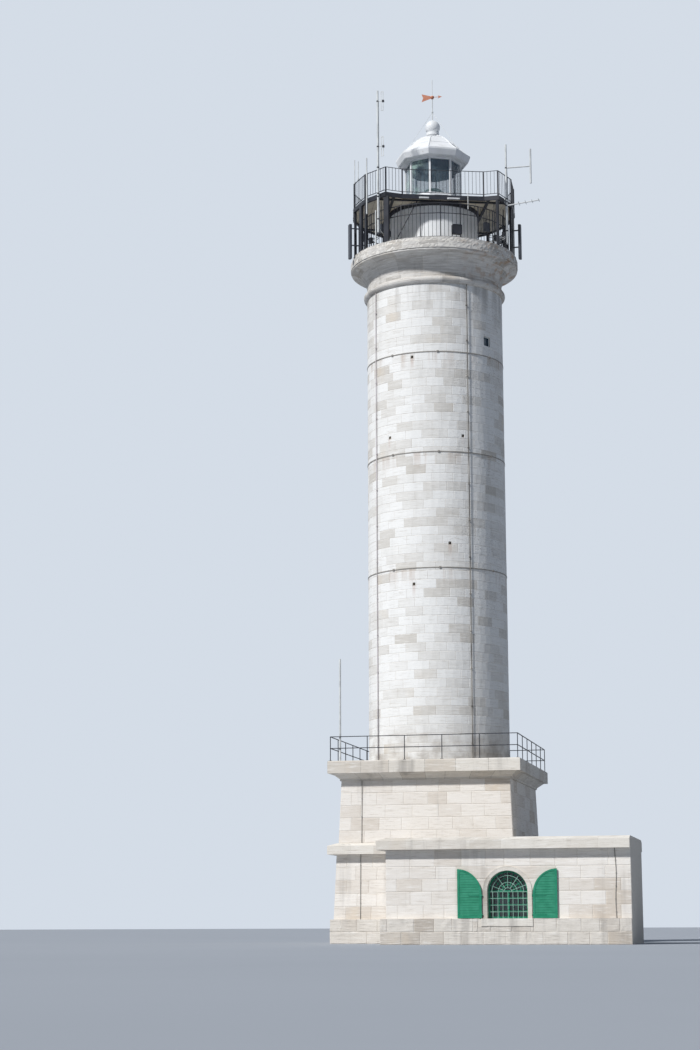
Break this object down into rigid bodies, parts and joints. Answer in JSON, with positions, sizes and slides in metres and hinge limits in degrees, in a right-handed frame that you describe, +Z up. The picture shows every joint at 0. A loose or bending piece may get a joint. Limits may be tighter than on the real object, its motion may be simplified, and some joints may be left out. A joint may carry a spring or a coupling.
{
  "type": "lighthouse",
  "caption": "Round stone lighthouse with two galleries and a glazed lantern, on a square stone base with a terrace and a front wing with an arched, shuttered window.",
  "frame": {"origin": "on the ground, at the axis of the round shaft", "axes": "+Z up, the building's front faces -Y, +X to the right seen from the front"},
  "size_m": [12.52, 13.48, 37.8359],
  "materials": {
    "base_stone": "weathered ashlar",
    "shaft_stone": "weathered ashlar",
    "moulding_stone": "weathered",
    "paving_stone": "matt",
    "dark_iron": "satin",
    "white_paint": "satin",
    "mast_paint": "satin",
    "grille_paint": "satin",
    "green_timber": "painted, satin",
    "vane_paint": "satin",
    "window_pane": "clear",
    "lantern_pane": "clear",
    "soffit_board": "matt",
    "blind_paint": "matt",
    "aerial_case": "matt",
    "lens_glass": "clear"
  },
  "bodies": {
    "building": {"ground_floor": "paving_stone", "lower_front_wall": "base_stone", "lower_back_wall": "base_stone", "lower_left_wall": "base_stone", "lower_right_wall": "base_stone", "string_course": "moulding_stone", "upper_front_wall": "base_stone", "upper_back_wall": "base_stone", "upper_left_wall": "base_stone", "upper_right_wall": "base_stone", "terrace_slab": "moulding_stone", "terrace_railing": "dark_iron", "terrace_mast": "mast_paint", "wing_front_wall": "base_stone", "wing_left_wall": "base_stone", "wing_right_wall": "base_stone", "wing_back_wall": "base_stone", "wing_roof": "moulding_stone", "window_surround": "moulding_stone", "window_sill": "moulding_stone", "window_frame": "green_timber", "window_glass": "window_pane", "window_grille": "grille_paint", "shutter_pintles": "dark_iron", "shaft_lower": "shaft_stone", "shaft_middle": "shaft_stone", "shaft_upper": "shaft_stone", "shaft_window": "grille_paint", "shaft_hoops": "dark_iron", "conductors": "dark_iron", "capital": "moulding_stone", "gallery_slab": "moulding_stone", "lower_gallery_railing": "dark_iron", "service_drum": "white_paint", "lantern_floor": "white_paint", "deck_posts": "dark_iron", "upper_deck": "dark_iron", "upper_gallery_railing": "dark_iron", "lantern_wall": "white_paint", "lantern_frame": "white_paint", "lantern_glass": "lantern_pane", "lantern_lens": "lens_glass", "roof_eave": "white_paint", "roof_dome": "white_paint", "roof_vent": "white_paint", "lightning_rod": "dark_iron", "left_mast": "mast_paint", "right_mast": "mast_paint", "deck_soffit": "soffit_board", "lantern_ceiling": "blind_paint", "whip_aerials": "mast_paint", "panel_aerials": "aerial_case", "floodlight": "dark_iron", "deck_lamps": "white_paint"},
    "vane": {"weather_vane": "vane_paint"},
    "left_leaf": {"left_shutter": "green_timber"},
    "right_leaf": {"right_shutter": "green_timber"}
  },
  "joints": [
    {"name": "vane_turn", "type": "hinge", "parent": "building", "child": "vane", "pos_m": [0, 0, 36.93], "axis": [0, 0, 1], "continuous": true},
    {"name": "left_shutter_swing", "type": "hinge", "parent": "building", "child": "left_leaf", "pos_m": [2.99, -8.2285, 1], "axis": [0, 0, 1], "range_deg": [0, 180]},
    {"name": "right_shutter_swing", "type": "hinge", "parent": "building", "child": "right_leaf", "pos_m": [4.88, -8.2285, 1], "axis": [0, 0, 1], "range_deg": [-180, 0]}
  ]
}
